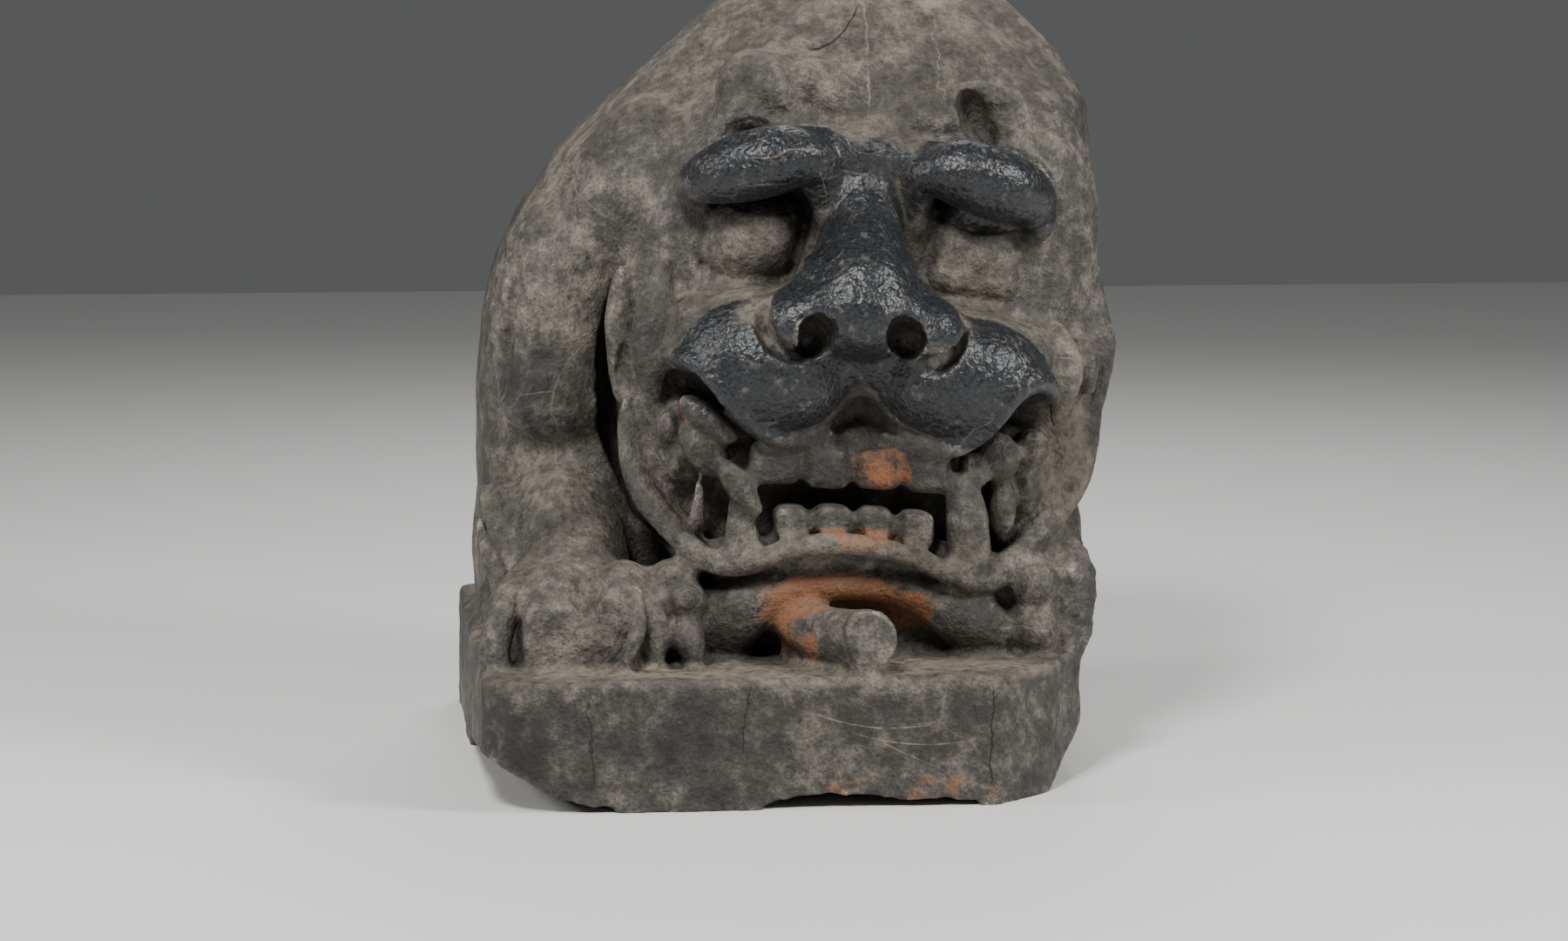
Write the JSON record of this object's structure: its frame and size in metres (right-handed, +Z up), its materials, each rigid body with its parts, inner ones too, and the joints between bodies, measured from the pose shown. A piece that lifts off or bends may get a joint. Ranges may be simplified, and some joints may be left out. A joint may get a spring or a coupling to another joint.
{
  "type": "guardian lion statue",
  "caption": "Crouching stone guardian lion with a broad snarling head, a humped back and stretched forepaws, carved in one with a thick slab plinth.",
  "frame": {"origin": "on the flat underside of the plinth, midway between the plinth's front and back and between its sides at the front", "axes": "+Z up; -Y is the side that the lion faces; +X is to the right of a person who looks at its face"},
  "size_m": [0.7689, 0.7778, 0.978],
  "materials": {
    "limestone": "dark grey limestone, rubbed to a dull shine on the brows and muzzle"
  },
  "bodies": {
    "root": {"guardian_lion": "limestone"}
  },
  "joints": []
}
